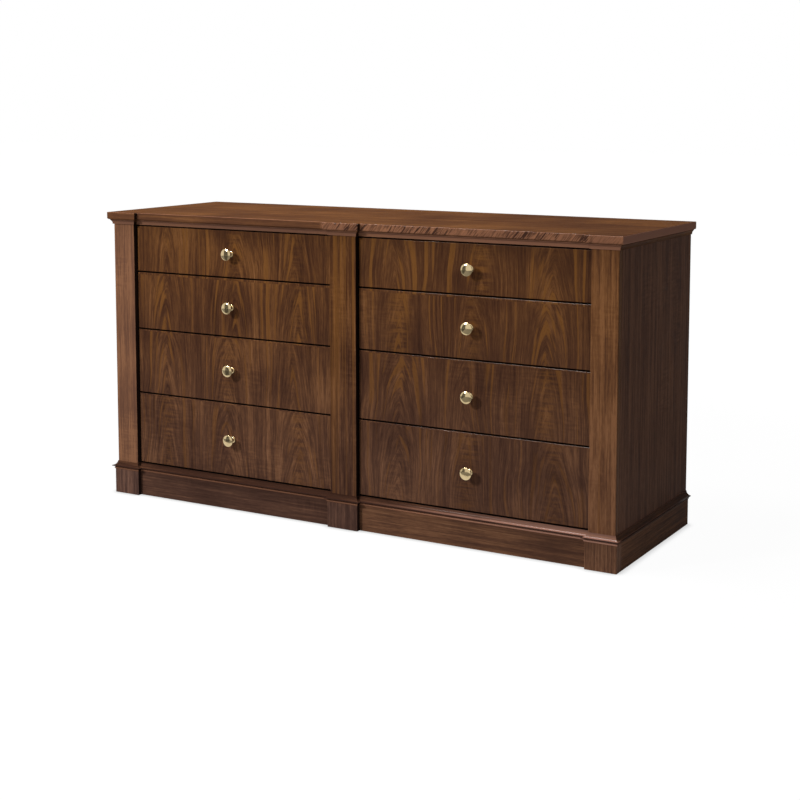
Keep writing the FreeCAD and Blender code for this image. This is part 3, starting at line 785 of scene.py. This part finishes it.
def dress_pilasters():
    """Upright grain, paler higher up and cooler lower down as painted shade, with painted shade on the
    sides where a pilaster meets a bay.
    """
    # The left pilaster's blush and pale paint a sheen.
    left = walnut("walnut_pilaster_left", along("z"), spread=3.2,
                  lift=over("z", (0.1, 0.04), (0.85, 0.18)),
                  dusk=0.25, blush=0.22, pale=0.12, painted_shade=on_sides(0.4, 0.95), gloss=SATIN)
    centre = walnut("walnut_pilaster_centre", along("z"), spread=2.0,
                    lift=over("z", (0.1, -0.15), (0.85, -0.04)),
                    gold=over("z", (0.30, 0.28), (0.85, 0.70)),
                    dusk=over("z", (0.12, 0.44), (0.80, 0.03)),
                    painted_shade=on_sides(0.95, 0.95), gloss=SATIN)
    right = walnut("walnut_pilaster_right", along("z"), spread=2.2,
                   lift=over("z", (0.1, 0.26), (0.85, 0.33)),
                   gold=over("z", (0.30, 0.28), (0.85, 0.65)),
                   dusk=over("z", (0.12, 0.36), (0.80, 0.05)),
                   pale=0.06, painted_shade=on_sides(0.95, 0.3), gloss=SATIN)
    dress(left, "left_pilaster")
    dress(centre, "centre_pilaster")
    dress(right, "right_pilaster")


def dress_top():
    """A top with a flecked front edge, painted highlights on its arrises and along its edge, growing to
    the right, a painted sheen on its right end and painted shade on the faces beside the bays.
    """
    left_x, right_x = FLECKED_X
    # Painted highlights along the seen edge and on the upper arrises.
    painted_edge_sheen = within(seen_edge, over("x", (left_x, 0.10), (right_x, 0.50)))
    painted_arris_highlight = within(forward, within(upper_arrises, 0.50))
    # lilac paints a sheen on the right end, and stain paints shade on the faces beside the bays.
    top = walnut("walnut_top", fascia_and_top, lift=0.01, spread=on_top(edge=1.7, face=1.35), dusk=0.08,
                 pale=greatest(painted_edge_sheen, painted_arris_highlight), lilac=within(right_end, 0.62),
                 dark=fascia_flecks, painted_shade=within(returns, 0.9),
                 lacquer=within(forward, within(upper_arrises, 0.30)), gloss=0.005, roughness=0.8)
    dress(top, "top_panel")


def dress_sides():
    """Plain upright grain, cooler on the right."""
    for side, lift, spread, dusk in (("left", 0.02, 1.6, 0.30), ("right", 0.21, 1.7, 0.76)):
        panel = walnut(f"walnut_{side}_side", along("z"), lift=lift, spread=spread, clouds=0.12,
                       dusk=dusk, gloss=DULL)
        dress(panel, f"{side}_side_panel")


COVE_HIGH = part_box("cornice_moulding")[1].z
# A band of painted shade under the top's edge.
COVE_SHADE_LINE = (COVE_HIGH - 0.0050, COVE_HIGH - 0.0030)
BASE_LOW, BASE_HIGH = (corner.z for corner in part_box("base_moulding"))
# Heights of the bands of painted light and shade on the base moulding.
LIP = BASE_LOW + 0.010
BEAD_FOOT = (BASE_LOW, BASE_LOW + 0.0008)
BEAD = (BASE_LOW + 0.0012, BASE_LOW + 0.0075)
QUIRK_AND_LIP = (BASE_LOW + 0.0078, LIP + 0.0022)
HOLLOW = (LIP + 0.002, BASE_HIGH)
HOLLOW_SHINE = (LIP + 0.0032, LIP + 0.0052)


def dress_mouldings():
    """Mouldings with painted light and shade: paler to the right, dark lines of painted shade under the
    top's edge and in the base's quirks and lip, a painted highlight on the bead and low in the base's
    cove, and light bounced from the floor painted on the cornice.
    """
    # On the cornice, blush, pale and lilac paint light bounced from the floor, paler to the right; the
    # dark band paints shade under the top's edge and stain paints shade on the faces beside the bays.
    cornice = walnut("walnut_cornice", along_length, lift=-0.02, spread=1.6,
                     blush=within(forward, 0.30),
                     pale=within(forward, over("x", (-0.1, 0.12), (0.5, 0.42))),
                     lilac=within(forward, 0.08), dark=band(*COVE_SHADE_LINE, blur=0.0010, share=0.45),
                     painted_shade=within(returns, 0.8), gloss=MATT)
    # Painted highlights and sheen, stronger to the right, in the base's cove and on its bead, and
    # painted shade at the bead's lower edge and in its quirks and lip.
    painted_hollow_sheen = band(*HOLLOW, blur=0.0005, share=over("x", (0.10, 0.0), (0.75, 0.30)))
    painted_hollow_highlight = band(*HOLLOW_SHINE, blur=0.0016, share=over("x", (0.0, 0.0), (0.70, 0.70)))
    painted_bead_light = band(*BEAD, blur=0.001, share=over("x", (-0.1, 0.45), (0.4, 0.90)))
    painted_bead_sheen = band(*BEAD, blur=0.001, share=over("x", (0.10, 0.0), (0.75, 0.60)))
    painted_foot_shade = band(*BEAD_FOOT, blur=0.0006, share=0.35)
    painted_quirk_shade = band(*QUIRK_AND_LIP, blur=0.0005, share=0.85)
    # The base is paler to the right as painted light, and stain paints shade on the faces beside the
    # bays.
    base = walnut("walnut_base", along_length, spread=1.8, lift=over("x", (-0.1, -0.40), (0.4, -0.12)),
                  dusk=0.30, pale=painted_bead_light, lilac=greatest(painted_hollow_sheen, painted_hollow_highlight, painted_bead_sheen),
                  dark=greatest(painted_foot_shade, painted_quirk_shade), painted_shade=within(returns, 0.7), gloss=MATT,
                  lacquer=within(forward, over("x", (0.15, 0.0), (0.70, 0.16))))
    dress(cornice, "cornice_moulding")
    dress(base, "base_moulding")


def dress_plinth():
    """Plinth boards with level grain and blocks with upright grain, all paler to the right."""
    front = walnut("walnut_plinth", along("x"), spread=1.7,
                   lift=over("x", (-0.05, -0.13), (0.05, 0.07)),
                   dusk=over("x", (-0.05, 0.62), (0.05, 0.45)), blush=0.05, gloss=SATIN)
    # On the blocks, stain paints shade on the faces beside the bays.
    blocks = walnut("walnut_block", along("z"), spread=2.0,
                    lift=over("x", (0.0, -0.03), (0.8, 0.21)),
                    dusk=over("x", (-0.8, 0.90), (0.0, 0.78), (0.8, 0.52)),
                    blush=0.05, painted_shade=within(returns, 0.8), gloss=SATIN)
    sides = walnut("walnut_side_plinth", along("y"), spread=1.9,
                   lift=over("x", (-0.5, 0.0), (0.5, 0.28)), dusk=0.52, gloss=DULL)
    dress(front, "front_plinths")
    dress(blocks, "plinth_blocks")
    dress(sides, "side_plinths")


def dress_inside():
    """Plain inner woods, and ply at the back."""
    inner = plain_wood("inner_wood", "y", POPLAR, gloss=0.03, detail=gap_shade_and_ply_end)
    rails = plain_wood("rail_wood", "x", POPLAR, gloss=0.03, detail=gap_shade_and_ply_end)
    dress(inner, "inner_side_panels", "centre_partitions", "bottom_board")
    dress(rails, "plinth_corner_blocks", "top_rails", "drawer_rails")
    dress(plain_wood("plinth_ply", "x", BACK_PLY), "rear_plinth")
    dress(plain_wood("back_ply", "z", BACK_PLY, detail=back_screws), "back_panels")


def dress_drawers():
    """Maple boxes, steel slides and brass knobs."""
    box_wood = plain_wood("drawer_wood", "y", MAPLE)
    zinc = steel("zinc_steel")
    knob_brass = brass("pale_brass")
    dress(zinc, "slide_case_members")
    for name in DRAWERS:
        dress(box_wood, f"drawer_box_{name}")
        dress(zinc, f"slide_inner_{name}", f"slide_middle_{name}")
        turned_knob(name, knob_brass)


# The studio: a white world and floor, two soft lamps, and sheets that show only in polished metal.

AMBIENT = 0.16
FLOOR_SIZE = 60.0
FLOOR_BOUNCE = 0.5
FLOOR_SHADE = 0.04
FLOOR_GLOW = 0.97
GLOW_FADE = (1.2, 3.5)
CONTACT_REACH = 0.03
CONTACT_SHARE = 0.30
CONTACT_RANGE = (0.5, 1.0)
CONTACT_SAMPLES = 16


def seen_directly(graph):
    """1 where a ray comes from the camera, a mirror or glass, and 0 elsewhere."""
    path = graph.add("ShaderNodeLightPath")
    direct = graph.math("MAXIMUM", path.outputs["Is Camera Ray"], path.outputs["Is Glossy Ray"])
    return graph.math("MAXIMUM", direct, path.outputs["Is Transmission Ray"])


def white_light(graph, kind, strength):
    """A white background or emission shader."""
    node = graph.add(kind)
    graph.feed(node.inputs["Color"], WHITE)
    graph.feed(node.inputs["Strength"], strength)
    return node.outputs[0]


def white_world():
    world = bpy.data.worlds.new("studio")
    world.use_nodes = True
    bpy.context.scene.world = world
    graph = Graph(world.node_tree)
    soft = white_light(graph, "ShaderNodeBackground", AMBIENT)
    plain = white_light(graph, "ShaderNodeBackground", 1.0)
    out = graph.add("ShaderNodeOutputWorld")
    graph.feed(out.inputs["Surface"], graph.blend(seen_directly(graph), soft, plain))


def flat_sheet(name, corners, material):
    mesh = bpy.data.meshes.new(name)
    mesh.from_pydata(corners, [], [(0, 1, 2, 3)])
    mesh.materials.append(material)
    sheet = bpy.data.objects.new(name, mesh)
    bpy.context.scene.collection.objects.link(sheet)
    return sheet


def white_floor():
    """A floor that looks white, with the dresser's shadow and a darker line where it stands."""
    material, graph = new_material("floor")
    x, y, _ = places(graph)
    contact = graph.add("ShaderNodeAmbientOcclusion", samples=CONTACT_SAMPLES)
    graph.feed(contact.inputs["Distance"], CONTACT_REACH)
    open_share = graph.step(contact.outputs["AO"], *CONTACT_RANGE, 1.0 - CONTACT_SHARE, 1.0)
    strength = graph.step(graph.length(x, y), *GLOW_FADE, FLOOR_GLOW, 1.0)
    glow = white_light(graph, "ShaderNodeEmission", graph.times(strength, open_share))
    both = graph.add("ShaderNodeAddShader")
    graph.feed(both.inputs[0], graph.diffuse(FLOOR_SHADE))
    graph.feed(both.inputs[1], glow)
    graph.show(graph.blend(seen_directly(graph), graph.diffuse(FLOOR_BOUNCE), both.outputs[0]))
    half = FLOOR_SIZE / 2
    corners = [(-half, -half, 0), (half, -half, 0), (half, half, 0), (-half, half, 0)]
    floor = flat_sheet("floor", corners, material)


def reflected(name, corners, tone):
    """A grey sheet in front of the dresser, which shows only in polished metal."""
    material, graph = new_material(name)
    graph.show(graph.diffuse(tone))
    sheet = flat_sheet(name, corners, material)
    for ray in ("camera", "diffuse", "shadow", "transmission", "volume_scatter"):
        setattr(sheet, f"visible_{ray}", False)


def softbox(name, place, aim, width, height, power):
    lamp = bpy.data.lights.new(name, "AREA")
    lamp.shape = "RECTANGLE"
    lamp.size = width
    lamp.size_y = height
    lamp.energy = power
    light = bpy.data.objects.new(name, lamp)
    light.location = place
    light.rotation_euler = (Vector(aim) - Vector(place)).to_track_quat("-Z", "Y").to_euler()
    bpy.context.scene.collection.objects.link(light)


# The card stands on two points of the floor, and the runner lies from them to the dresser.
CARD_LEFT = (-3.20, -3.20)
CARD_RIGHT = (-1.68, -4.34)
CARD_HEIGHT = 2.0
MAT_CORNERS = ((-4, -5), (3, -5), (3, -0.8), (-4, -0.8))
MAT_HEIGHT = 0.004
RUNNER_CORNERS = (CARD_LEFT, CARD_RIGHT, (-0.72, -1.10), (-1.05, -0.85))
RUNNER_HEIGHT = 0.006


def lights_and_sheets():
    softbox("key", place=(-2.58, -4.32, 3.28), aim=(0, -0.2, 0.5), width=0.7, height=0.7, power=172)
    softbox("overhead", place=(-0.45, -0.75, 3.6), aim=(-0.2, 0, 0.9), width=1.2, height=1.0, power=88)
    mat = [(*corner, MAT_HEIGHT) for corner in MAT_CORNERS]
    card = [(*CARD_LEFT, 0.0), (*CARD_RIGHT, 0.0), (*CARD_RIGHT, CARD_HEIGHT), (*CARD_LEFT, CARD_HEIGHT)]
    runner = [(*corner, RUNNER_HEIGHT) for corner in RUNNER_CORNERS]
    reflected("mat", mat, tone=0.30)
    reflected("card", card, tone=0.38)
    reflected("runner", runner, tone=0.09)


CAMERA_PLACE = (2.3624, -4.0174, 1.2722)
CAMERA_YAW = math.radians(30.065)
CAMERA_PITCH = math.radians(5.882)
CAMERA_LENS = 68.427
CAMERA_SHIFT = -0.18


def photo_camera():
    data = bpy.data.cameras.new("camera")
    data.lens = CAMERA_LENS
    data.shift_y = CAMERA_SHIFT
    camera = bpy.data.objects.new("camera", data)
    camera.location = CAMERA_PLACE
    camera.rotation_euler = Euler((math.pi / 2 - CAMERA_PITCH, 0, CAMERA_YAW))
    bpy.context.scene.collection.objects.link(camera)
    bpy.context.scene.camera = camera


dress_fronts("left", spread=1.8, lift=0.0, dusk_below=0.43, dusk_above=0.02)
dress_fronts("right", spread=1.5, lift=-0.05, dusk_below=0.50, dusk_above=0.06)
dress_pilasters()
dress_top()
dress_sides()
dress_mouldings()
dress_plinth()
dress_inside()
dress_drawers()
white_world()
white_floor()
lights_and_sheets()
photo_camera()
bpy.context.scene.view_settings.view_transform = "Standard"
